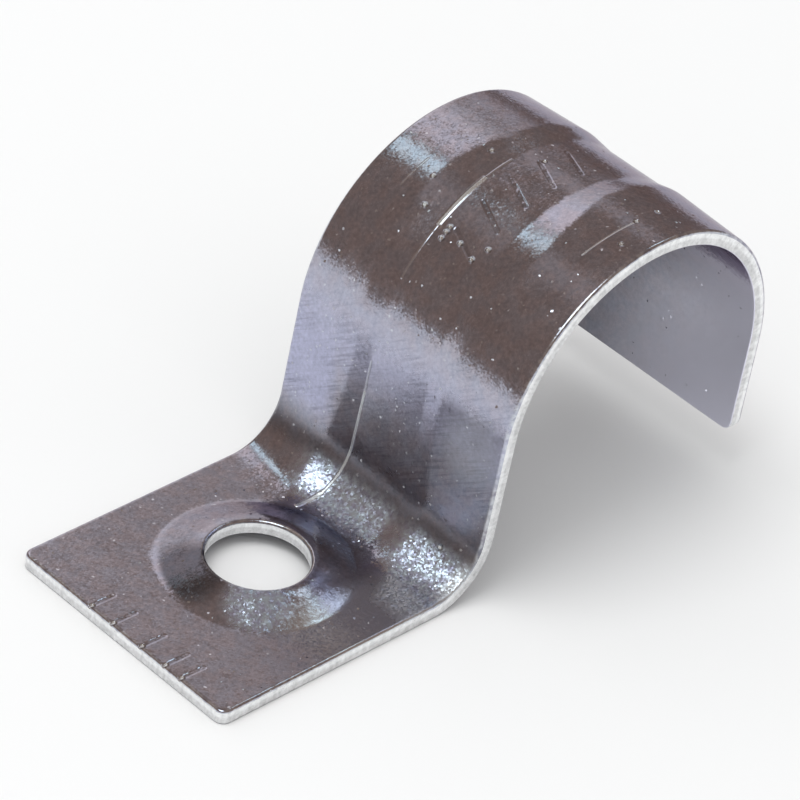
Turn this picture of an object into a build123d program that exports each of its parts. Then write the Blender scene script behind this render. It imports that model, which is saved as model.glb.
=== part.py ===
from build123d import *
import os
from math import cos, radians, sin, tan

# One-hole conduit strap, pressed from one strip of zinc-plated steel. Millimetres, +Z up.
# The screw foot lies on the mounting surface, which is the plane Z = 0. The strap runs
# along +X from the end of the foot, up the web, over the conduit and down the far leg.
# Its width runs along Y. The origin is in the middle of its length and width, at Z = 0.

# Strip
strap_width = 19.05
wall = 1.05
corner_radius = 0.7
edge_round = 0.2

# Conduit that the saddle holds, with its bottom on the mounting surface
conduit_diameter = 21.34
conduit_clearance = 0.23

# Side profile
foot_flat = 17.8
bend_radius = 3.75
web_lean = 4.5
leg_lean = 2.75
leg_end_height = 3.25

# Screw hole in a dished boss
hole_diameter = 6.8
hole_to_end = 11.4
boss_diameter = 13.0
boss_height = 0.85
boss_land = 0.45
boss_crown = 1.2
rim_chamfer = 0.2

# Two stiffening ribs, with a flat band between them
band_width = 5.0
rib_spacing = 8.4
rib_height = 0.3
rib_margin = 0.8
rib_crown = 5.0
rib_runin = 2.2
rib_end_angle = 60.0
rib_runout_radius = 6.0
rib_runout_angle = 45.0

# Gussets that carry the ribs across the bend and down to the foot
gusset_radius = 5.6
gusset_spacing = 9.2
gusset_crown = 1.6
gusset_inset = 0.35

# Small overlap where one pressed form runs into another
overlap = 0.05

# Sizes worked out from those above
half_width = strap_width / 2
mid_wall = wall / 2
saddle_radius = conduit_diameter / 2 + conduit_clearance
outer_radius = saddle_radius + wall
lean = radians(web_lean)
leg = radians(leg_lean)
bend_angle = 90 - web_lean
arch_angle = 180 - web_lean + leg_lean
bend_z = wall + bend_radius
web_length = (saddle_radius + (outer_radius + bend_radius) * sin(lean) - bend_z) / cos(lean)
arch_x = foot_flat + (bend_radius + outer_radius) * cos(lean) + web_length * sin(lean)
arch_z = saddle_radius
leg_drop = arch_z - outer_radius * sin(leg) - leg_end_height
leg_x = arch_x + outer_radius * cos(leg) - leg_drop * tan(leg)
rib_edge = half_width - rib_margin
length = arch_x + outer_radius


def point(x, z):
    """A place in the strap's side view, on the middle of its width."""
    return Vector(x, 0, z)


def side_arc(x, z, radius, start, turn):
    """An arc in the side view, with its start and turn in degrees from +X towards +Z."""
    def on_arc(angle):
        return point(x + radius * cos(radians(angle)), z + radius * sin(radians(angle)))
    return ThreePointArc(on_arc(start), on_arc(start + turn / 2), on_arc(start + turn))


def surface_line(depth):
    """The strap's side line at a depth below its outer surface, down to the leg."""
    bend = side_arc(foot_flat, bend_z, bend_radius + depth, -90, bend_angle)
    arch = side_arc(arch_x, arch_z, outer_radius - depth, 180 - web_lean, -arch_angle)
    end = point(leg_x - depth * cos(leg), leg_end_height + depth * sin(leg))
    return [
        Line(point(0, wall - depth), bend @ 0),
        bend,
        Line(bend @ 1, arch @ 0),
        arch,
        Line(arch @ 1, end),
    ]


def bent_strip():
    """The bent strip before the ribs and the boss are pressed into it."""
    outer = surface_line(0)
    inner = surface_line(wall)
    ends = [Line(inner[0] @ 0, outer[0] @ 0), Line(outer[-1] @ 1, inner[-1] @ 1)]
    side = make_face(Curve() + outer + inner + ends)
    strip = extrude(side, half_width, both=True)
    corners = strip.edges().filter_by(lambda edge: abs(edge.length - wall) < 1e-6)
    strip = fillet(corners, corner_radius)
    return fillet(strip.edges().filter_by(on_upper_rim), edge_round)


def on_upper_rim(edge):
    """True for an edge round the rim of the outer surface, not for a seam across it."""
    middle = edge.center()
    across = edge.bounding_box().size
    seam = across.Y > strap_width / 2 and leg_end_height < middle.Z and 0 < middle.X
    line = Curve() + surface_line(0)
    return not seam and line.distance(Vertex(middle.X, 0, middle.Z)) < 1e-4


def roof(inner, crest, outer, rise, crown, depth):
    """The section of a rib, as a low roof with its crest rounded, in width and height."""
    skirt = mid_wall
    foot = -skirt - depth
    inner_slope = rise / (crest - inner)
    outer_slope = rise / (outer - crest)
    limit = half_width - 2 * overlap
    shape = make_face(Polyline(
        (inner - skirt / inner_slope, foot),
        (crest, rise - depth),
        (limit, rise - depth - outer_slope * (limit - crest)),
        (limit, foot),
        close=True,
    ))
    return fillet(shape.vertices().sort_by(Axis.Y)[-1], crown)


def pressed(section, path):
    """A section swept along a path, as it is on +Y and mirrored on -Y."""
    start = Plane(origin=path @ 0, x_dir=(0, 1, 0), z_dir=path % 0)
    rib = sweep(start * section, path=path)
    return [rib, mirror(rib, about=Plane.XZ)]


def ribs(depth):
    """The low ribs of the web and the saddle, dipping under the bend and past the crown."""
    middle = bend_angle / 2
    bend = side_arc(foot_flat, bend_z, bend_radius, -middle - web_lean, middle)
    runin = Line(bend @ 0 - bend % 0 * rib_runin, bend @ 0)
    sweep_angle = 90 - web_lean + rib_end_angle
    arch = side_arc(arch_x, arch_z, outer_radius, 180 - web_lean, -sweep_angle)
    end = 90 - rib_end_angle
    step = outer_radius - rib_runout_radius
    runout = side_arc(
        arch_x + step * cos(radians(end)),
        arch_z + step * sin(radians(end)),
        rib_runout_radius, end, -rib_runout_angle,
    )
    path = Wire([runin, bend, Line(bend @ 1, arch @ 0), arch, runout])
    section = roof(band_width / 2, rib_spacing / 2, rib_edge, rib_height, rib_crown, depth)
    return pressed(section, path)


def gussets(depth):
    """The rounder ribs that bridge the bend, level with the foot and the web at their ends."""
    back = (gusset_radius - bend_radius) * tan(radians(bend_angle / 2))
    rise = (gusset_radius - bend_radius) * (1 / cos(radians(bend_angle / 2)) - 1)
    path = side_arc(foot_flat - back, wall + gusset_radius, gusset_radius, -90, bend_angle)
    section = roof(
        band_width / 2 + gusset_inset, gusset_spacing / 2, rib_edge - gusset_inset, rise,
        gusset_crown, depth + rise,
    )
    return pressed(section, Wire([path]))


def boss(depth):
    """The dished boss round the screw hole."""
    base = boss_diameter / 2
    top = hole_diameter / 2 + boss_land
    slope = boss_height / (base - top)
    skirt = mid_wall
    level = wall - depth
    half = make_face(Polyline(
        (0, level - skirt),
        (base + skirt / slope, level - skirt),
        (top, level + boss_height),
        (0, level + boss_height),
        close=True,
    ))
    half = fillet(half.vertices().sort_by(Axis.Y)[-2:].sort_by(Axis.X)[-1], boss_crown)
    turned = revolve(Plane.XZ * half, Axis.Z)
    return Pos(hole_to_end, 0, 0) * turned


def below(depth):
    """All that lies below the strap's surface line at a depth, out past both sides."""
    line = surface_line(depth)
    start = line[0] @ 0
    end = line[-1] @ 1
    floor = -strap_width
    under = Polyline(end, point(end.X, floor), point(start.X, floor), start)
    return extrude(make_face(Curve() + line + [under]), strap_width, both=True)


def conduit_strap():
    """The strip with every form pressed up: added on the outside and cut from the inside."""
    strap = bent_strip()
    raised = [*ribs(0), *gussets(0), boss(0)]
    strap += [form - below(mid_wall) for form in raised]
    strap -= [*ribs(wall), *gussets(wall), boss(wall)]
    strap -= Pos(hole_to_end, 0, 0) * Cylinder(hole_diameter / 2, 4 * (wall + boss_height))
    rims = strap.edges().filter_by(GeomType.CIRCLE).filter_by(is_hole_rim)
    strap = chamfer(rims.sort_by(Axis.Z)[-1], rim_chamfer)
    return Pos(-length / 2, 0, 0) * strap


def is_hole_rim(edge):
    return abs(edge.radius - hole_diameter / 2) < 1e-6


if __name__ == "__main__":
    os.makedirs("parts", exist_ok=True)
    strap = conduit_strap()
    print(f"conduit_strap: {len(strap.solids())} solid, {len(strap.faces())} faces")
    print(f"length {length:.2f}, saddle axis at X {arch_x - length / 2:.3f}, Z {arch_z:.3f}")
    export_step(strap, "parts/conduit_strap.step")
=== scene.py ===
# %% [markdown]
# # A one-hole conduit strap in bright zinc plate
# The real strap starts as a flat strip. A press shears it to length, pierces the screw hole
# and folds it, and the same stroke raises two ribs and a boss. Then it is plated with zinc.
# This lesson follows that order: blank, press, plate, light, camera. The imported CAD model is
# loaded first, because it fixes the sizes and the place of everything that follows.

# %% Load the fixed frame
import math

import bpy
from mathutils import Matrix, Vector


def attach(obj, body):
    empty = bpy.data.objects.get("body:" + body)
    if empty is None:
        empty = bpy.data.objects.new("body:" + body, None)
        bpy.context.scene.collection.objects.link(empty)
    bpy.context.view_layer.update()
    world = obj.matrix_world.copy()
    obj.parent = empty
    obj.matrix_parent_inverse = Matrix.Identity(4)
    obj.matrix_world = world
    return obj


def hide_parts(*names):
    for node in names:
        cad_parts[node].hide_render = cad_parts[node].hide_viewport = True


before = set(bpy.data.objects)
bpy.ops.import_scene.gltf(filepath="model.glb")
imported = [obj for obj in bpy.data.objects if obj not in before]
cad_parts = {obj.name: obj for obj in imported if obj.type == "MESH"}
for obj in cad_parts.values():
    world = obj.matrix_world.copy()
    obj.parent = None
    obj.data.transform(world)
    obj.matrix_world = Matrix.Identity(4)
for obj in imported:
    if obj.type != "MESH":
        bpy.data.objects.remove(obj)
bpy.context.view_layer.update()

# %% [markdown]
# ## The sizes that the press works to
# All of these are the strap's own sizes in metres. The web's length and the place of the
# saddle's axis follow from them, as they do in the CAD model, so the pressed mesh lies on it.

# %% Sizes of the strap
MM = 0.001
WIDTH = 19.05 * MM
WALL = 1.05 * MM
FOOT = 17.8 * MM
BEND_RADIUS = 3.75 * MM
SADDLE_RADIUS = 10.9 * MM
WEB_LEAN = math.radians(4.5)
LEG_LEAN = math.radians(2.75)
LEG_END = 3.25 * MM
HOLE_RADIUS = 3.4 * MM
HOLE_PLACE = 11.4 * MM
BOSS_RADIUS = 6.5 * MM
BOSS_HEIGHT = 0.85 * MM
BAND_HALF = 2.5 * MM
RIB_EDGE = 9.4 * MM
CORNER = 0.7 * MM
ROLLOVER = 0.2 * MM
BURR = 0.06 * MM

OUTER_RADIUS = SADDLE_RADIUS + WALL
BEND_TURN = math.pi / 2 - WEB_LEAN
ARCH_TURN = math.pi - WEB_LEAN + LEG_LEAN
rise = SADDLE_RADIUS + (OUTER_RADIUS + BEND_RADIUS) * math.sin(WEB_LEAN)
WEB = (rise - WALL - BEND_RADIUS) / math.cos(WEB_LEAN)
saddle_x = FOOT + (BEND_RADIUS + OUTER_RADIUS) * math.cos(WEB_LEAN) + WEB * math.sin(WEB_LEAN)
LENGTH = saddle_x + OUTER_RADIUS
LEG = (SADDLE_RADIUS - OUTER_RADIUS * math.sin(LEG_LEAN) - LEG_END) / math.cos(LEG_LEAN)

# Marks along the strip: where the bend, the web, the saddle and the leg start, and its end
BEND_START = FOOT
WEB_START = BEND_START + BEND_RADIUS * BEND_TURN
SADDLE_START = WEB_START + WEB
LEG_START = SADDLE_START + OUTER_RADIUS * ARCH_TURN
STRIP = LEG_START + LEG
CROWN = SADDLE_START + OUTER_RADIUS * BEND_TURN
print(f"the strip is {STRIP / MM:.1f} mm long before it is folded to {LENGTH / MM:.1f} mm")

# %% [markdown]
# ## Node trees written as sums
# The press and the plate are both sums and products of numbers that change over the strap.
# Wiring each Math node by hand hides that, so a small class lets Python's own signs make the
# nodes. The same class serves geometry, material and world trees, whose Math nodes are alike.


# %% A number in a node tree
class Field:
    """A socket of a node tree, on which + - * / make Math nodes."""

    def __init__(self, tree, socket):
        self.tree = tree
        self.socket = socket

    def math(self, operation, *others):
        node = self.tree.nodes.new("ShaderNodeMath")
        node.operation = operation
        for place, value in zip(node.inputs, (self, *others)):
            plug(self.tree, place, value)
        return Field(self.tree, node.outputs[0])

    def __add__(self, other):
        return self.math("ADD", other)

    def __sub__(self, other):
        return self.math("SUBTRACT", other)

    def __rsub__(self, other):
        return self.math("MULTIPLY_ADD", -1.0, other)

    def __mul__(self, other):
        return self.math("MULTIPLY", other)

    def __truediv__(self, other):
        return self.math("DIVIDE", other)

    __radd__ = __add__
    __rmul__ = __mul__


def plug(tree, place, value):
    """Feeds a socket from a field or a socket, or sets it to a plain value."""
    if isinstance(value, Field):
        tree.links.new(value.socket, place)
    elif isinstance(value, bpy.types.NodeSocket):
        tree.links.new(value, place)
    else:
        place.default_value = value


def span(value, low, high):
    """0 up to low, 1 from high on, and a smooth rise between them."""
    node = value.tree.nodes.new("ShaderNodeMapRange")
    node.interpolation_type = "SMOOTHSTEP"
    for name, item in (("Value", value), ("From Min", low), ("From Max", high)):
        plug(value.tree, node.inputs[name], item)
    return Field(value.tree, node.outputs["Result"])


def hump(value, start, top, end):
    """0 outside start and end, 1 at the top, smooth in between."""
    return span(value, start, top) * (1.0 - span(value, top, end))


def within(value, low, high):
    """The value, held between two limits."""
    return value.math("MAXIMUM", low).math("MINIMUM", high)


def add_node(tree, kind, **values):
    """A node with its inputs set or linked by name, underscores standing for spaces."""
    node = tree.nodes.new(kind)
    for name, value in values.items():
        plug(tree, node.inputs[name.replace("_", " ")], value)
    return node


def field(node, name=0):
    return Field(node.id_data, node.outputs[name])


# %% [markdown]
# ## The blank
# A sheared strip isn't a box. The punch drags the upper rim down in a small rollover, leaves a
# straight sheared side and a burr at the lower rim, and these catch the light on the real one.
# The blank is therefore a closed plate built point by point. A plain grid carries the strip,
# and round the hole the grid gives way to rings, so that the hole and the boss are truly round.


# %% Spacing and rims of the blank
RIM_STEPS = [0.0, 0.03 * MM, 0.08 * MM, 0.14 * MM, 0.2 * MM, 0.27 * MM]
FINE = 0.19 * MM
COARSE = 0.45 * MM
PATCH = 7.1 * MM
FINE_END = CROWN + 9 * MM
SIDE_LEVELS = [-ROLLOVER - 0.05 * MM, -0.45 * MM, -0.75 * MM, BURR - WALL + 0.04 * MM]


def spaced(low, high, step):
    count = max(1, round((high - low) / step))
    return [low + (high - low) * i / count for i in range(count)]


def strip_lines():
    """Places of the cross lines and the long lines of the grid, and of the patch in them."""
    near, far = HOLE_PLACE - PATCH, HOLE_PLACE + PATCH
    along = RIM_STEPS[:-1] + spaced(RIM_STEPS[-1], near, FINE) + spaced(near, far, FINE)
    along += spaced(far, FINE_END, FINE)
    along += spaced(FINE_END, STRIP - RIM_STEPS[-1], COARSE) + [STRIP - d for d in RIM_STEPS[::-1]]
    half = WIDTH / 2
    side = spaced(PATCH, half - RIM_STEPS[-1], FINE) + [half - d for d in RIM_STEPS[::-1]]
    side = spaced(BAND_HALF, PATCH, FINE) + side
    across = [-y for y in side[::-1]] + spaced(-BAND_HALF, BAND_HALF, FINE)[1:] + side
    return along, across


def drop(distance, radius):
    """How far a quarter-round rim has fallen at a distance in from its edge."""
    if distance >= radius:
        return 0.0
    return radius - math.sqrt(radius ** 2 - (radius - distance) ** 2)


def rounded(s, y):
    """Moves a point of the square strip in, where its four corners are rounded."""
    ds = CORNER - min(s, STRIP - s)
    dy = abs(y) - (WIDTH / 2 - CORNER)
    if ds <= 0 or dy <= 0:
        return s, y
    u, v = ds / CORNER, dy / CORNER
    ds = CORNER * u * math.sqrt(1 - v * v / 2)
    dy = CORNER * v * math.sqrt(1 - u * u / 2)
    s = CORNER - ds if s < STRIP / 2 else STRIP - CORNER + ds
    return s, math.copysign(WIDTH / 2 - CORNER + dy, y)


def edge_distance(s, y):
    """Distance in from the outline or the hole, whichever is nearer."""
    qs = abs(s - STRIP / 2) - (STRIP / 2 - CORNER)
    qy = abs(y) - (WIDTH / 2 - CORNER)
    outside = math.hypot(max(qs, 0.0), max(qy, 0.0))
    outline = CORNER - outside - min(max(qs, qy), 0.0)
    return max(0.0, min(outline, math.hypot(s - HOLE_PLACE, y) - HOLE_RADIUS))


# %% Points and faces of the blank
def blank_layout():
    """Points of one face of the blank, its quads, its outline and its hole, as indices."""
    along, across = strip_lines()
    low_i, high_i = (nearest(along, HOLE_PLACE + d) for d in (-PATCH, PATCH))
    low_j, high_j = (nearest(across, d) for d in (-PATCH, PATCH))
    points, index, quads = [], {}, []
    for i, s in enumerate(along):
        for j, y in enumerate(across):
            if not (low_i < i < high_i and low_j < j < high_j):
                index[i, j] = len(points)
                points.append(rounded(s, y))
    last_i, last_j = len(along) - 1, len(across) - 1
    for i in range(last_i):
        for j in range(last_j):
            if not (low_i <= i < high_i and low_j <= j < high_j):
                corners = [(i, j), (i + 1, j), (i + 1, j + 1), (i, j + 1)]
                quads.append([index[c] for c in corners])
    ring = ring_of(index, low_i, high_i, low_j, high_j)
    square = [(points[k][0] - HOLE_PLACE, points[k][1]) for k in ring]
    for share, radius in ring_radii():
        new = []
        for a, b in square:
            scale = 1 - share + share * radius / math.hypot(a, b)
            new.append(len(points))
            points.append((HOLE_PLACE + a * scale, b * scale))
        quads += joined(ring, new)
        ring = new
    return points, quads, ring_of(index, 0, last_i, 0, last_j), ring


def nearest(lines, place):
    return min(range(len(lines)), key=lambda k: abs(lines[k] - place))


def ring_of(index, i0, i1, j0, j1):
    """The indices round a rectangle of the grid, anticlockwise."""
    south = [(i, j0) for i in range(i0, i1)]
    east = [(i1, j) for j in range(j0, j1)]
    north = [(i, j1) for i in range(i1, i0, -1)]
    west = [(i0, j) for j in range(j1, j0, -1)]
    return [index[key] for key in south + east + north + west]


def ring_radii():
    """Each ring as its share of roundness and its radius, from the patch's square inwards."""
    steps = 7
    blend = [(k / steps, BOSS_RADIUS) for k in range(1, steps + 1)]
    inner = HOLE_RADIUS + RIM_STEPS[-1]
    rings = [(1.0, r) for r in spaced(inner, BOSS_RADIUS, FINE)[::-1]]
    return blend + rings + [(1.0, HOLE_RADIUS + d) for d in RIM_STEPS[-2::-1]]


def joined(outer, inner):
    """Quads between two rings with as many points."""
    count = len(outer)
    return [
        [outer[k], outer[(k + 1) % count], inner[(k + 1) % count], inner[k]]
        for k in range(count)
    ]


def make_blank():
    points, quads, outline, hole = blank_layout()
    count = len(points)
    top = [(s, y, -drop(edge_distance(s, y), ROLLOVER)) for s, y in points]
    under = [(s, y, drop(edge_distance(s, y), BURR) - WALL) for s, y in points]
    faces = quads + [[k + count for k in quad[::-1]] for quad in quads]
    places = top + under
    for loop in (outline, hole):
        ring = loop
        for level in SIDE_LEVELS:
            new = list(range(len(places), len(places) + len(loop)))
            places += [(*points[k], level) for k in loop]
            faces += joined(ring, new) if loop is hole else turned_over(joined(ring, new))
            ring = new
        last = [k + count for k in loop]
        faces += joined(ring, last) if loop is hole else turned_over(joined(ring, last))
    mesh = bpy.data.meshes.new("blank")
    mesh.from_pydata(places, [], faces)
    mesh.polygons.foreach_set("use_smooth", [True] * len(faces))
    mesh.update()
    return mesh


def turned_over(faces):
    return [face[::-1] for face in faces]


blank = make_blank()
print(f"blank: {len(blank.vertices)} points, {len(blank.polygons)} quads")

# %% [markdown]
# ## The press
# Folding a strip follows a rule: a point some way along it lies on the foot, the bend, the
# web, the saddle or the leg, and each stretch adds its own step. The ribs and the boss are
# heights on top of that. A Geometry Nodes tree can hold that rule with a named input for each
# size, so the strap is pressed by the modifier, and any other size could be tried in its panel.


# %% Stretches of the ribs along the strip
RIB_START = (17 * MM, 20.5 * MM)
RIB_END = (CROWN + 7 * MM, CROWN + 13 * MM)
GUSSET_HUMP = (16.2 * MM, 20.2 * MM, 25 * MM)
GUSSET_SPREAD = (16 * MM, 21.5 * MM, 28 * MM)
CROWN_SPREAD = (SADDLE_START, CROWN - 6 * MM, CROWN + 2 * MM)
RIB_BLEND = 0.25
BOSS_BLENDS = (0.25 * MM, 0.08 * MM)


# %% Heights that the press raises
def smooth_least(a, b, blend):
    return a.math("SMOOTH_MIN", b, blend)


def rib_height(s, y, size):
    """Two ribs with a flat band between them, highest in the bend, running out past the crown."""
    side = y.math("ABSOLUTE")
    crest = size["Rib Crest"] + size["Gusset Shift"] * hump(s, *GUSSET_SPREAD)
    crest += size["Crown Shift"] * hump(s, *CROWN_SPREAD)
    band, edge = size["Band Half Width"], size["Rib Edge"]
    roof = smooth_least(
        (side - band) / (crest - band), (edge - side) / (edge - crest), RIB_BLEND
    )
    start = span(s, *RIB_START)
    end = 1.0 - span(s, *RIB_END)
    web = size["Web Rib Height"] * start
    crown = (size["Crown Rib Height"] - size["Web Rib Height"]) * span(s, WEB_START, CROWN)
    gusset = size["Gusset Height"] * hump(s, *GUSSET_HUMP)
    return ((web + crown) * end + gusset) * roof.math("MAXIMUM", 0.0)


def boss_height(s, y, size):
    """A cone with a crisp foot and a soft rim, round the screw hole."""
    a = s - size["Hole Place"]
    radius = (a * a + y * y).math("SQRT")
    flank = size["Boss Radius"] - size["Hole Radius"] - size["Boss Land"]
    height = size["Boss Height"]
    cone = (size["Boss Radius"] - radius) * height / flank
    rim, foot = BOSS_BLENDS
    return smooth_least(cone, height, rim).math("SMOOTH_MAX", 0.0, foot)


# %% The press as a node tree
SHEARED_TOP = -ROLLOVER - 0.01 * MM
SHEARED_FOOT = 0.07 * MM
PRESS_SIZES = {
    "Foot": FOOT,
    "Bend Radius": BEND_RADIUS,
    "Bend Turn": BEND_TURN,
    "Web": WEB,
    "Outer Radius": OUTER_RADIUS,
    "Arch Turn": ARCH_TURN,
    "Wall": WALL,
    "Length": LENGTH,
    "Band Half Width": BAND_HALF,
    "Rib Crest": 4.0 * MM,
    "Rib Edge": RIB_EDGE,
    "Web Rib Height": 0.3 * MM,
    "Crown Rib Height": 0.27 * MM,
    "Gusset Height": 0.35 * MM,
    "Gusset Shift": 0.7 * MM,
    "Crown Shift": 0.9 * MM,
    "Hole Place": HOLE_PLACE,
    "Hole Radius": HOLE_RADIUS,
    "Boss Radius": BOSS_RADIUS,
    "Boss Height": BOSS_HEIGHT,
    "Boss Land": 0.5 * MM,
}


def folded(s, z, size):
    """Where a point of the strip goes in the side view, at z above the strip's upper face."""
    turn, radius, outer = size["Bend Turn"], size["Bend Radius"], size["Outer Radius"]
    foot = within(s, 0.0, size["Foot"])
    after_foot = s - size["Foot"]
    bent = within(after_foot / radius, 0.0, turn)
    after_bend = after_foot - turn * radius
    web = within(after_bend, 0.0, size["Web"])
    after_web = after_bend - size["Web"]
    arched = within(after_web / outer, 0.0, size["Arch Turn"])
    leg = (after_web - size["Arch Turn"] * outer).math("MAXIMUM", 0.0)
    last = turn - size["Arch Turn"]
    heading = turn - arched
    x = foot + radius * bent.math("SINE") + web * turn.math("COSINE")
    x += outer * (turn.math("SINE") - heading.math("SINE")) + leg * last.math("COSINE")
    up = size["Wall"] + radius * (1.0 - bent.math("COSINE")) + web * turn.math("SINE")
    up += outer * (heading.math("COSINE") - turn.math("COSINE")) + leg * last.math("SINE")
    slope = bent - arched
    return x - slope.math("SINE") * z - size["Length"] * 0.5, up + slope.math("COSINE") * z


def combine(x, y, z):
    node = x.tree.nodes.new("ShaderNodeCombineXYZ")
    for place, value in zip(node.inputs, (x, y, z)):
        plug(x.tree, place, value)
    return node.outputs[0]


def press_tree():
    tree = bpy.data.node_groups.new("Press the strap", "GeometryNodeTree")
    face = tree.interface
    face.new_socket("Geometry", in_out="INPUT", socket_type="NodeSocketGeometry")
    face.new_socket("Geometry", in_out="OUTPUT", socket_type="NodeSocketGeometry")
    for name in PRESS_SIZES:
        face.new_socket(name, in_out="INPUT", socket_type="NodeSocketFloat")
    for name in ("Plate", "Sheared Edge"):
        face.new_socket(name, in_out="INPUT", socket_type="NodeSocketMaterial")
    inputs = tree.nodes.new("NodeGroupInput")
    size = {name: Field(tree, inputs.outputs[name]) for name in PRESS_SIZES}
    place = tree.nodes.new("GeometryNodeInputPosition").outputs[0]
    flat = add_node(tree, "ShaderNodeSeparateXYZ", Vector=place)
    s, y, z = (field(flat, name) for name in "XYZ")
    height = rib_height(s, y, size).math("MAXIMUM", boss_height(s, y, size))
    x, up = folded(s, z + height, size)
    store = add_node(tree, "GeometryNodeStoreNamedAttribute", Geometry=inputs.outputs[0])
    store.data_type, store.domain = "FLOAT_VECTOR", "POINT"
    store.inputs["Name"].default_value = "strip"
    plug(tree, store.inputs["Value"], place)
    move = add_node(tree, "GeometryNodeSetPosition", Geometry=store.outputs[0])
    plug(tree, move.inputs["Position"], combine(x, y, up))
    real = add_node(tree, "GeometryNodeRealizeInstances", Geometry=move.outputs[0])
    plate = add_node(tree, "GeometryNodeSetMaterial", Geometry=real.outputs[0])
    plug(tree, plate.inputs["Material"], inputs.outputs["Plate"])
    kept = add_node(tree, "GeometryNodeInputNamedAttribute")
    kept.data_type = "FLOAT_VECTOR"
    kept.inputs["Name"].default_value = "strip"
    level = field(add_node(tree, "ShaderNodeSeparateXYZ", Vector=kept.outputs[0]), "Z")
    below_rim = level.math("LESS_THAN", SHEARED_TOP)
    sheared = below_rim * level.math("GREATER_THAN", SHEARED_FOOT - size["Wall"])
    edge = add_node(tree, "GeometryNodeSetMaterial", Geometry=plate.outputs[0])
    plug(tree, edge.inputs["Selection"], sheared)
    plug(tree, edge.inputs["Material"], inputs.outputs["Sheared Edge"])
    output = tree.nodes.new("NodeGroupOutput")
    plug(tree, output.inputs[0], edge.outputs[0])
    return tree


# %% [markdown]
# ## The plate
# Bright zinc plate is a thin metal coat over rolled steel. It mirrors the room softly, with a
# faint blue cast. The steel's rolling lines and fine pits still show through, and the press and
# handling have marked it. Each of these effects is a node group that gives out only plain
# numbers, so that the upper faces and the sheared edges can share them. All of them read the
# strip's flat coordinates in millimetres, which the press keeps as an attribute.


# %% Helpers for the effect groups
def effect_group(name, inputs, outputs, vectors=()):
    """A shader node group that gives out plain numbers, and vectors where asked."""
    tree = bpy.data.node_groups.new(name, "ShaderNodeTree")
    for label, kind in inputs:
        tree.interface.new_socket(label, in_out="INPUT", socket_type="NodeSocket" + kind)
    for label in outputs:
        tree.interface.new_socket(label, in_out="OUTPUT", socket_type="NodeSocketFloat")
    for label in vectors:
        tree.interface.new_socket(label, in_out="OUTPUT", socket_type="NodeSocketVector")
    return tree, tree.nodes.new("NodeGroupInput").outputs


def give_out(tree, **values):
    end = tree.nodes.new("NodeGroupOutput")
    for name, value in values.items():
        plug(tree, end.inputs[name], value)


def use_group(tree, group, **values):
    node = tree.nodes.new("ShaderNodeGroup")
    node.node_tree = group
    for name, value in values.items():
        plug(tree, node.inputs[name], value)
    return node


def vector_math(tree, operation, *values):
    node = tree.nodes.new("ShaderNodeVectorMath")
    node.operation = operation
    for place, value in zip(node.inputs, values):
        plug(tree, place, value)
    return node


def noise(tree, place, scale, detail=2.0, roughness=0.5):
    """A noise between 0 and 1, its scale in features per millimetre."""
    return field(add_node(
        tree, "ShaderNodeTexNoise", Vector=place, Scale=scale, Detail=detail, Roughness=roughness,
    ))


# %% Effects of the plate
def zinc_speckle():
    """Blotches and fine grain of the plate: a tone round 1, a gloss change and a height in mm."""
    outputs = ("Tone", "Tint", "Gloss", "Height")
    tree, given = effect_group("Zinc Speckle", [("Place", "Vector")], outputs)
    place = given["Place"]
    blotch = noise(tree, place, 0.5, 4.0, 0.65) - 0.5
    fleck = noise(tree, place, 3.2, 3.0, 0.7) - 0.5
    grain = noise(tree, place, 8.0, 1.0) - 0.5
    give_out(
        tree,
        Tone=1.0 + blotch * 0.4 + fleck * 0.75,
        Tint=span(noise(tree, place, 0.8, 3.0, 0.6), 0.38, 0.62),
        Gloss=blotch * 0.16 + fleck * 0.12,
        Height=blotch * 0.02 + fleck * 0.003 + grain * 0.0012,
    )
    return tree


GRAIN_STRETCH = (0.3, 4.6, 1.0)


def drawn_grain():
    """Fine parallel lines at an angle to the strip, in patches."""
    tree, given = effect_group(
        "Drawn Grain", [("Place", "Vector"), ("Turn", "Float")], ("Lines", "Height")
    )
    turned = add_node(tree, "ShaderNodeVectorRotate", Vector=given["Place"], Angle=given["Turn"])
    long_way = vector_math(tree, "MULTIPLY", turned.outputs[0], GRAIN_STRETCH).outputs[0]
    lines = span(noise(tree, long_way, 1.0, 3.0, 0.6), 0.42, 0.66)
    patch = span(noise(tree, given["Place"], 0.35, 2.0), 0.4, 0.65)
    share = 0.25 + 0.75 * patch
    give_out(tree, Lines=lines * share, Height=lines * share * -0.0006)
    return tree


def stroke():
    """1 on a straight stroke between two places of the strip, 0 off it, with a soft side."""
    tree, given = effect_group(
        "Stroke",
        [("Place", "Vector"), ("Start", "Vector"), ("End", "Vector"), ("Width", "Float")],
        ("Mask",),
    )
    away = vector_math(tree, "SUBTRACT", given["Place"], given["Start"]).outputs[0]
    way = vector_math(tree, "SUBTRACT", given["End"], given["Start"]).outputs[0]
    dot = Field(tree, vector_math(tree, "DOT_PRODUCT", away, way).outputs["Value"])
    size = Field(tree, vector_math(tree, "DOT_PRODUCT", way, way).outputs["Value"])
    along = within(dot / (size + 0.000001), 0.0, 1.0)
    foot_point = tree.nodes.new("ShaderNodeVectorMath")
    foot_point.operation = "SCALE"
    plug(tree, foot_point.inputs[0], way)
    plug(tree, foot_point.inputs["Scale"], along)
    distance = vector_math(tree, "DISTANCE", away, foot_point.outputs[0]).outputs["Value"]
    half = Field(tree, given["Width"]) * 0.5
    give_out(tree, Mask=1.0 - span(Field(tree, distance), half * 0.35, half))
    return tree


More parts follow.
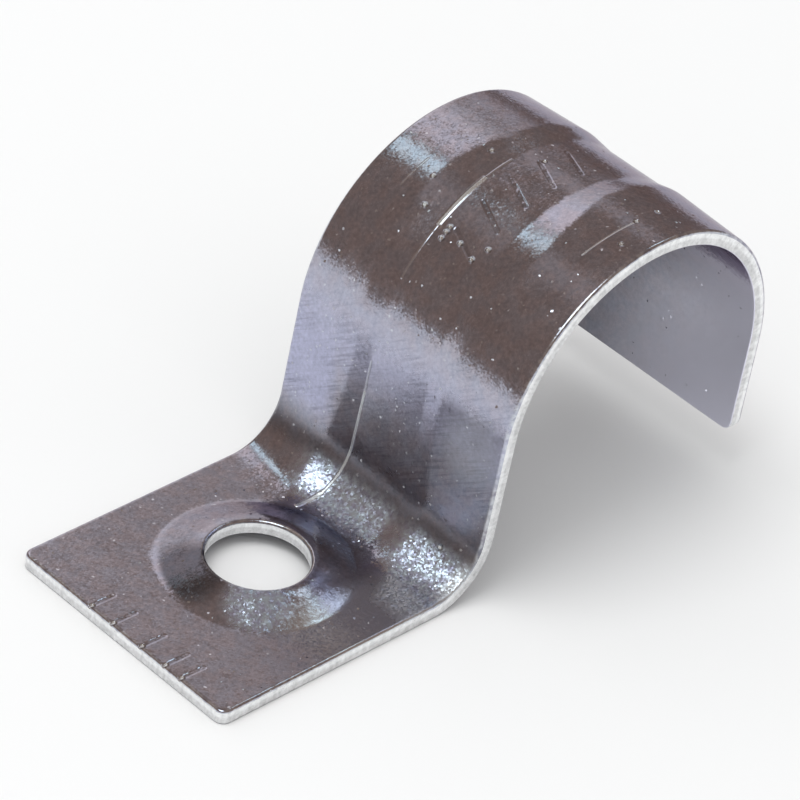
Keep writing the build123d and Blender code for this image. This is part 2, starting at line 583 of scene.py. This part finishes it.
def sparkle():
    """Tiny facets, each tilted its own way: a turn to add to the normal, and a fleck mask."""
    tree, given = effect_group(
        "Sparkle", [("Place", "Vector"), ("Amount", "Float")], ("Mask",), ("Facet",)
    )
    cells = add_node(tree, "ShaderNodeTexVoronoi", Vector=given["Place"], Scale=7.5)
    chance = vector_math(tree, "SUBTRACT", cells.outputs["Color"], (0.5, 0.5, 0.5))
    pick = noise(tree, cells.outputs["Position"], 23.0, 0.0)
    fleck = span(pick, 0.77, 0.81)
    amount = Field(tree, given["Amount"]) + fleck * 0.5
    facet = tree.nodes.new("ShaderNodeVectorMath")
    facet.operation = "SCALE"
    plug(tree, facet.inputs[0], chance.outputs[0])
    plug(tree, facet.inputs["Scale"], amount)
    give_out(tree, Mask=fleck, Facet=facet.outputs[0])
    return tree


SPECKLE = zinc_speckle()
GRAIN = drawn_grain()
STROKE = stroke()
SPARKLE = sparkle()
print("effects:", [group.name for group in (SPECKLE, GRAIN, STROKE, SPARKLE)])

# %% [markdown]
# ## Marks of the press and of handling
# The die's corners have burnished the two creases beside the flat band, and a painted highlight
# is laid along them. Plain ticks stand at the foot's end and across the crown. The scratches and
# dents follow the photograph.
# Each mark is a stroke in the strip's own millimetres, and a dent is a small round spot.

# %% Places of the marks
CREASES = [
    # start, end, width, strength
    ((17.6, 3.0), (19.6, 2.7), 0.42, 1.0),
    ((19.6, 2.7), (27.6, 2.5), 0.26, 0.9),
    ((27.6, 2.5), (30.0, 2.5), 0.2, 0.35),
    ((36.2, 2.5), (47.0, 2.5), 0.22, 0.3),
    ((40.4, 2.5), (44.6, 2.5), 0.46, 1.0),
]
SCRATCHES = [
    ((44.0, -6.9), (48.6, -7.05), 0.16, 0.8),
    ((41.0, 6.5), (43.4, 6.4), 0.2, 0.3),
]
TICKS = [((0.3, y), (1.95, y - 0.05)) for y in (2.95, 0.9, -1.8, -4.0, -5.5)]
TICKS += [((s, -1.2), (s + 1.1, 1.2)) for s in (39.6, 42.1, 44.6, 47.1, 49.6)]
DENTS = [
    (0.2, 2.95), (0.2, 0.9), (0.2, -1.8), (0.2, -4.0), (0.2, -5.5),
    (48.6, -7.05), (46.3, -8.0), (50.7, -6.9), (40.8, 4.1), (46.5, 3.85), (48.5, 1.05),
    (39.7, 1.65), (40.2, 1.65), (40.6, 1.65), (40.1, 0.3), (39.7, -1.1), (40.8, -1.6),
    (42.6, 5.1), (21.4, -6.9),
]


# %% Plate materials
def new_material(name):
    material = bpy.data.materials.new(name)
    material.use_nodes = True
    tree = material.node_tree
    tree.nodes.clear()
    shader = tree.nodes.new("ShaderNodeBsdfPrincipled")
    output = tree.nodes.new("ShaderNodeOutputMaterial")
    tree.links.new(shader.outputs[0], output.inputs[0])
    return material, tree, shader


def strip_place(tree):
    """The strip's flat coordinates in millimetres, as a vector and as three fields."""
    kept = tree.nodes.new("ShaderNodeAttribute")
    kept.attribute_name = "strip"
    scaled = vector_math(tree, "MULTIPLY", kept.outputs["Vector"], (1000.0, 1000.0, 1000.0))
    place = scaled.outputs[0]
    parts = add_node(tree, "ShaderNodeSeparateXYZ", Vector=place)
    return place, [field(parts, name) for name in "XYZ"]


def stroke_mask(tree, place, start, end, width):
    node = use_group(tree, STROKE, Place=place, Start=(*start, 0.0), End=(*end, 0.0), Width=width)
    return field(node)


def most(fields):
    """The greatest of several fields."""
    result = fields[0]
    for other in fields[1:]:
        result = result.math("MAXIMUM", other)
    return result


def near_edges(s, y, reach):
    """1 at the outline or the hole of the strip, 0 from reach millimetres inwards."""
    a = s - HOLE_PLACE / MM
    to_hole = (a * a + y * y).math("SQRT") - HOLE_RADIUS / MM
    to_side = WIDTH / MM / 2 - y.math("ABSOLUTE")
    to_end = s.math("MINIMUM", STRIP / MM - s)
    distance = to_hole.math("MINIMUM", to_side).math("MINIMUM", to_end)
    return 1.0 - span(distance, 0.0, reach)


def tinted(tree, colour, tone):
    """A colour multiplied by a tone."""
    return mix_parts(tree, "MULTIPLY", 1.0, colour, tone)


def mix_parts(tree, blend, share, first, second):
    node = tree.nodes.new("ShaderNodeMix")
    node.data_type = "RGBA"
    node.blend_type = blend
    node.clamp_factor = True
    plug(tree, node.inputs[0], share)
    plug(tree, node.inputs[6], first)
    plug(tree, node.inputs[7], second)
    return node.outputs[2]


def bump_normal(tree, height):
    """The normal turned by a height in millimetres."""
    return add_node(tree, "ShaderNodeBump", Height=height, Distance=MM).outputs[0]


# %% Colours of the plate
ZINC = (0.40, 0.41, 0.485, 1.0)
ZINC_WARM = (0.42, 0.402, 0.455, 1.0)
ZINC_COOL = (0.455, 0.47, 0.62, 1.0)
# A painted glint: a light blue laid in patches on the rough bend and boss.
PAINTED_GLINT = (0.62, 0.76, 0.82, 1.0)
# A painted reflection: the light colour of the lit table, mirrored low on the far leg's inside.
PAINTED_REFLECTION = (0.80, 0.80, 0.92, 1.0)
# The light colour of scratched and rubbed plate; on the creases, rims, dents, sparkling facets and
# near side it is also a painted highlight.
WEAR_AND_GLINT_COLOUR = (0.80, 0.85, 0.88, 1.0)
GRAZING = (0.6, 0.55, 0.6, 1.0)
SHEARED = (0.87, 0.88, 0.89, 1.0)

# %% [markdown]
# ## Zones of the plate
# The plate isn't the same all over. The press has roughened it in the bend and on the boss,
# where its grains sparkle, and there a light blue painted glint lies in patches. The die has
# dulled it above the bend, and a round spot on the boss is darker. A painted shade darkens the
# web, and a painted highlight lightens the near side. Each zone is a product of soft steps along
# and across the strip, in millimetres, so it stays where it belongs when the strap is seen from
# another side. The zones were tuned until the tones came near the photograph's. On the real
# strap some of them may be reflections, which one photograph can't tell from differences of the
# plate.

# %% Spots and stretches of the plate
# A spot is its s, its y, an inner and an outer radius. A stretch is where it starts along the
# strip, where it is full, where it starts to fade and where it ends.
SPARKLE_SPOT = (8.3, -3.4, 1.4, 2.9)
# A round spot where the boss is darker.
DARK_BOSS_SPOT = (6.9, 1.6, 1.6, 3.7)
BOSS_SPOT = (HOLE_PLACE / MM, 0.0, 6.0, 6.6)
# Places of the painted highlight on the near side.
WEB_SHEEN_SPOT = (29.0, -7.2, 1.2, 3.4)
NEAR_FOOT_SHEEN_STRETCH = (7.0, 11.0, 17.0, 18.5)
NEAR_RIM_STRETCH = (17.0, 19.8, 19.8, 22.5)
DULL_STRETCH = (20.3, 21.8, 21.8, 24.5)
SHADED_STRETCH = (21.5, 25.0, 25.0, 31.0)
WEB_STRETCH = (22.5, 25.0, 28.0, 36.0)


def spot(s, y, place):
    """1 on a round spot and 0 past it, with a soft side."""
    along, across, inner, outer = place
    a, b = s - along, y - across
    return 1.0 - span((a * a + b * b).math("SQRT"), inner, outer)


def stretch(s, places):
    """1 on a stretch of the strip and 0 off it, with soft ends."""
    start, full, fading, end = places
    return span(s, start, full) * (1.0 - span(s, fading, end))


def roughened(s, y):
    """Where the press has roughened the plate: round the bend, wider on the near side."""
    across = (1.0 - span(y, 4.2, 6.6)) * (1.0 - 0.6 * hump(y, -4.9, -3.3, -1.8))
    start = 18.0 - 3.0 * (1.0 - span(y, -7.0, -4.6))
    bend = span(s, start - 0.8, start + 1.4) * (1.0 - span(s, 20.8, 22.2)) * across
    return bend.math("MAXIMUM", spot(s, y, SPARKLE_SPOT))


def darkened(s, y, dull):
    """The share of its tone that the plate loses: where it is dull, on a darker spot of the boss,
    and in a painted shade on the web.
    """
    dark_boss = spot(s, y, DARK_BOSS_SPOT) * 0.95 * spot(s, y, BOSS_SPOT)
    shaded = stretch(s, SHADED_STRETCH) * (1.0 - span(y, 2.6, 5.4))
    return 0.5 * dull + 0.7 * dark_boss + 0.16 * shaded


def near_side_sheen(s, y):
    """A painted highlight on the plate's near side: beside the boss, on the web and at the rim in
    the bend.
    """
    by_bend = stretch(s, NEAR_FOOT_SHEEN_STRETCH) * (1.0 - span(y, -6.2, -4.0))
    near_rim = stretch(s, NEAR_RIM_STRETCH) * (1.0 - span(y, -9.2, -8.3))
    return most([by_bend * 0.7, spot(s, y, WEB_SHEEN_SPOT) * 0.22, near_rim * 0.8])


# %% Masks of the marks
TICK_WIDTH = 0.46
DENT_RADII = (0.09, 0.25)


def mark_masks(tree, place, s, y):
    """Masks of the creases' burnishing with its painted highlight, the scratches, the ticks and the
    dents.
    """
    # The creases' light line is partly burnishing, partly a painted highlight.
    crease_burnish_and_highlight = most([stroke_mask(tree, place, *m[:3]) * m[3] for m in CREASES])
    scratch = most([stroke_mask(tree, place, *m[:3]) * m[3] for m in SCRATCHES])
    ticks = most([stroke_mask(tree, place, *m, TICK_WIDTH) for m in TICKS])
    ticks = ticks * (0.35 + 0.65 * span(noise(tree, place, 1.1, 2.0), 0.35, 0.6))
    dents = most([spot(s, y, (*dent, *DENT_RADII)) for dent in DENTS])
    return crease_burnish_and_highlight, scratch, ticks, dents


# %% The plate's material
GRAIN_TURN = math.radians(55)
# How far in from the outline and the hole the rims are lighter.
RIM_REACH = 0.32
# Where along the strip the painted reflection on the inside begins.
INSIDE_REFLECTION_START = 68.0


def zinc_plate():
    """Bright plate. On the inside a painted shade makes it darker, and a painted reflection of the
    lit table lightens it low on the far leg.
    """
    material, tree, shader = new_material("zinc_plate")
    place, (s, y, z) = strip_place(tree)
    upper = z.math("GREATER_THAN", -0.5)
    inside = 1.0 - upper
    speckle = use_group(tree, SPECKLE, Place=place)
    grain = use_group(tree, GRAIN, Place=place, Turn=GRAIN_TURN)
    crease_burnish_and_highlight, scratch, ticks, dents = mark_masks(tree, place, s, y)

    # Zones
    on_web = stretch(s, WEB_STRETCH)
    dull = stretch(s, DULL_STRETCH)
    rough_zone = roughened(s, y)
    # Painted glint: patches of the rough bend and boss take a light blue colour.
    painted_glint_patches = rough_zone * span(noise(tree, place, 2.2, 3.0, 0.65), 0.3, 0.7)
    # Painted light: the foot's end is made a little lighter.
    end_light = (1.0 - span(s, 3.0, 6.5)) * 0.06
    # Painted reflection of the lit table, low on the far leg's inside.
    inside_reflection = span((s - INSIDE_REFLECTION_START) * 0.4 - y, -2.5, 9.0) * inside
    cool = on_web * span(s, 25.5, 31.0).math("MAXIMUM", span(y, 3.8, 6.0))
    lines = field(grain, "Lines") * (0.25 + 0.75 * on_web)
    sparkles = use_group(tree, SPARKLE, Place=place, Amount=0.05 + rough_zone * 0.27)

    # Marks and painted highlights
    # Lighter along the outline and the hole: partly rubbed edges, partly a painted highlight on the
    # rims.
    rim = near_edges(s, y, RIM_REACH) * span(noise(tree, place, 1.6, 3.0), 0.35, 0.6)
    # Painted glints: some of the tiny facets take the light colour.
    fleck_glints = field(sparkles) * 0.4
    # The light colour is real on the scratches, partly a painted highlight on the creases, rims and
    # dents, and a painted highlight on the facets and the near side.
    wear_and_glint = most([crease_burnish_and_highlight, scratch, rim * 0.55, fleck_glints, near_side_sheen(s, y), dents]) * upper

    # Colour
    tone = field(speckle, "Tone") * (1.0 - 0.28 * lines) * (1.0 - 0.2 * ticks * upper)
    tone = tone * (1.0 - darkened(s, y, dull) * upper) * (1.0 + end_light * upper)
    # Painted shade: the inside is darker, except where the painted reflection lies.
    tone = tone * (1.0 - 0.55 * (inside - inside_reflection))
    zinc = mix_parts(tree, "MIX", field(speckle, "Tint"), ZINC, ZINC_WARM)
    zinc = mix_parts(tree, "MIX", cool.math("MAXIMUM", rough_zone) * upper, zinc, ZINC_COOL)
    colour = mix_parts(tree, "MIX", painted_glint_patches * upper * 0.72, tinted(tree, zinc, tone.socket), PAINTED_GLINT)
    colour = mix_parts(tree, "MIX", inside_reflection * 0.95, colour, PAINTED_REFLECTION)
    colour = mix_parts(tree, "MIX", wear_and_glint, colour, WEAR_AND_GLINT_COLOUR)
    tree.links.new(colour, shader.inputs["Base Color"])
    shader.inputs["Metallic"].default_value = 1.0
    shader.inputs["Specular Tint"].default_value = GRAZING

    # Gloss
    rough = 0.16 + field(speckle, "Gloss") + (0.18 * rough_zone + 0.19 * on_web + 0.2 * dull) * upper
    rough += 0.1 * wear_and_glint + 0.05 * lines
    plug(tree, shader.inputs["Roughness"], within(rough, 0.08, 0.6))

    # Relief
    marks = ticks * -0.03 + dents * -0.18 - scratch * 0.02 + crease_burnish_and_highlight * 0.06
    height = field(speckle, "Height") + field(grain, "Height") + marks * upper
    turned = vector_math(tree, "ADD", bump_normal(tree, height), sparkles.outputs["Facet"])
    normal = vector_math(tree, "NORMALIZE", turned.outputs[0]).outputs[0]
    tree.links.new(normal, shader.inputs["Normal"])
    return material


# %% The sheared edge's material
def sheared_zinc():
    """The cut sides: dragged smooth above, broken and duller below."""
    material, tree, shader = new_material("sheared_zinc")
    place, (s, y, z) = strip_place(tree)
    speckle = use_group(tree, SPECKLE, Place=place)
    upright = vector_math(tree, "MULTIPLY", place, (1.0, 1.0, 0.12)).outputs[0]
    drag = noise(tree, upright, 3.5, 2.0) - 0.5
    broken = span(z, -0.42, -0.62)
    torn = noise(tree, place, 2.4, 4.0, 0.7) - 0.5
    tone = field(speckle, "Tone") + drag * 0.3 - broken * 0.14
    tree.links.new(tinted(tree, SHEARED, tone.socket), shader.inputs["Base Color"])
    shader.inputs["Metallic"].default_value = 1.0
    rough = 0.3 + field(speckle, "Gloss") + broken * 0.18
    plug(tree, shader.inputs["Roughness"], within(rough, 0.15, 0.7))
    height = field(speckle, "Height") + drag * 0.01 + torn * broken * 0.035
    tree.links.new(bump_normal(tree, height), shader.inputs["Normal"])
    return material


MATERIALS = {"Plate": zinc_plate(), "Sheared Edge": sheared_zinc()}
print("materials:", [material.name for material in MATERIALS.values()])

# %% Press the blank
strap = bpy.data.objects.new("blank_in_press", blank)
bpy.context.scene.collection.objects.link(strap)
press = strap.modifiers.new("press", "NODES")
press.node_group = press_tree()
for item in press.node_group.interface.items_tree:
    if item.in_out == "INPUT" and item.name in PRESS_SIZES:
        press[item.identifier] = PRESS_SIZES[item.name]
    elif item.in_out == "INPUT" and item.name in MATERIALS:
        press[item.identifier] = MATERIALS[item.name]
graph = bpy.context.evaluated_depsgraph_get()
pressed = bpy.data.meshes.new_from_object(strap.evaluated_get(graph), depsgraph=graph)
bpy.data.objects.remove(strap)
strap = bpy.data.objects.new("pressed_strap", pressed)
bpy.context.scene.collection.objects.link(strap)
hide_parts("conduit_strap")
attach(strap, "root")
print(f"strap: {len(pressed.polygons)} faces, materials {[m.name for m in pressed.materials]}")

# %% [markdown]
# ## Floor and surroundings
# Metal has no look of its own: it shows the room. The real room isn't known. The reflections
# suggest one that is dark and warm overhead with a few soft windows, and a white table, so this
# room is made up, and its windows were tuned beside the photograph. The floor is white and lit,
# and the world shows the dark room to mirror rays, white to the camera, and a plain soft light
# to the floor.

# %% Floor
floor_mesh = bpy.data.meshes.new("floor")
reach = 1.2
floor_mesh.from_pydata(
    [(-reach, -reach, 0), (reach, -reach, 0), (reach, reach, 0), (-reach, reach, 0)],
    [], [(0, 1, 2, 3)],
)
floor = bpy.data.objects.new("floor", floor_mesh)
bpy.context.scene.collection.objects.link(floor)
white, tree, shader = new_material("white_table")
shader.inputs["Base Color"].default_value = (0.9, 0.9, 0.9, 1.0)
shader.inputs["Roughness"].default_value = 0.8
shader.inputs["Specular IOR Level"].default_value = 0.0
floor_mesh.materials.append(white)


# %% World
def direction(azimuth, elevation):
    """A unit vector at an azimuth from +X towards +Y and an elevation, in degrees."""
    a, e = math.radians(azimuth), math.radians(elevation)
    return (math.cos(a) * math.cos(e), math.sin(a) * math.cos(e), math.sin(e))


def towards(tree, ray, azimuth, elevation, inner, outer):
    """1 for rays within inner degrees of a direction, 0 past outer, soft between."""
    node = tree.nodes.new("ShaderNodeVectorMath")
    node.operation = "DOT_PRODUCT"
    plug(tree, node.inputs[0], ray)
    node.inputs[1].default_value = direction(azimuth, elevation)
    dot = Field(tree, node.outputs["Value"])
    return span(dot, math.cos(math.radians(outer)), math.cos(math.radians(inner)))


ROOM = (0.29, 0.22, 0.185, 1.0)
TABLE = (1.0, 1.0, 1.0, 1.0)
BACKDROP = (1.0, 1.0, 1.0, 1.0)
SOFT_LIGHT = (0.78, 0.78, 0.78, 1.0)
WINDOWS = [
    # azimuth, elevation, inner, outer, colour
    (50, 16, 7, 17, (0.80, 0.74, 0.73, 1.0)),
    (58, 30, 6, 15, (0.92, 0.86, 0.85, 1.0)),
    (70, 41, 6, 11, (1.15, 1.07, 1.09, 1.0)),
    (57, 39, 2, 7, (1.1, 1.04, 1.06, 1.0)),
    (40, 38, 3, 7, (0.55, 0.483, 0.462, 1.0)),
    (118, 60, 2, 12, (0.42, 0.35, 0.32, 1.0)),
    (91, 49, 1, 7, (1.45, 1.75, 1.78, 1.0)),
    (198, 62, 10, 24, (3.6, 3.9, 4.0, 1.0)),
    (13, 51, 1, 8, (2.2, 2.7, 2.9, 1.0)),
]
world = bpy.data.worlds.new("studio")
bpy.context.scene.world = world
world.use_nodes = True
tree = world.node_tree
tree.nodes.clear()
ray = tree.nodes.new("ShaderNodeTexCoord").outputs["Generated"]
colour = ROOM
for azimuth, elevation, inner, outer, window in WINDOWS:
    share = towards(tree, ray, azimuth, elevation, inner, outer)
    colour = mix_parts(tree, "MIX", share, colour, window)
height = field(add_node(tree, "ShaderNodeSeparateXYZ", Vector=ray), "Z")
colour = mix_parts(tree, "MIX", 1.0 - span(height, -0.02, 0.02), colour, TABLE)
path = tree.nodes.new("ShaderNodeLightPath")
colour = mix_parts(tree, "MIX", path.outputs["Is Diffuse Ray"], colour, SOFT_LIGHT)
colour = mix_parts(tree, "MIX", path.outputs["Is Camera Ray"], colour, BACKDROP)
background = add_node(tree, "ShaderNodeBackground", Color=colour)
add_node(tree, "ShaderNodeOutputWorld", Surface=background.outputs[0])


# %% Lamp
def area_lamp(name, azimuth, elevation, distance, size, power):
    lamp = bpy.data.lights.new(name, "AREA")
    lamp.shape = "DISK"
    lamp.size = size
    lamp.energy = power
    holder = bpy.data.objects.new(name, lamp)
    way = Vector(direction(azimuth, elevation))
    holder.location = way * distance
    holder.rotation_euler = way.to_track_quat("Z", "Y").to_euler()
    bpy.context.scene.collection.objects.link(holder)
    return holder


key = area_lamp("key", azimuth=150, elevation=74, distance=0.6, size=0.35, power=1.1)
key.visible_glossy = False

# %% [markdown]
# ## Camera
# The view was found by fitting the strap's outline and its hole to the photograph. It looks
# from the foot's near side, well above the table, and is rolled a little, because the real
# strap leans on its far leg when it lies loose.

# %% Camera
CAMERA_AZIMUTH = -48.691
CAMERA_ELEVATION = 36.573
CAMERA_ROLL = 8.8
CAMERA_DISTANCE = 313.5 * MM
CAMERA_TARGET = Vector((22.51 * MM - LENGTH / 2, 0.0, 9.394 * MM))
azimuth, elevation = math.radians(CAMERA_AZIMUTH), math.radians(CAMERA_ELEVATION)
back = Vector((
    math.sin(azimuth) * math.cos(elevation),
    -math.cos(azimuth) * math.cos(elevation),
    math.sin(elevation),
))
right = Vector((math.cos(azimuth), math.sin(azimuth), 0.0))
up = back.cross(right)
roll = math.radians(CAMERA_ROLL)
right, up = (
    right * math.cos(roll) + up * math.sin(roll),
    up * math.cos(roll) - right * math.sin(roll),
)
lens = bpy.data.cameras.new("camera")
lens.sensor_width = 36.0
lens.lens = 222.1
lens.clip_start = 0.01
camera = bpy.data.objects.new("camera", lens)
bpy.context.scene.collection.objects.link(camera)
turned = Matrix((right, up, back)).transposed().to_4x4()
camera.matrix_world = Matrix.Translation(CAMERA_TARGET + back * CAMERA_DISTANCE) @ turned
bpy.context.scene.camera = camera

# %% Picture settings
bpy.context.scene.view_settings.view_transform = "Standard"
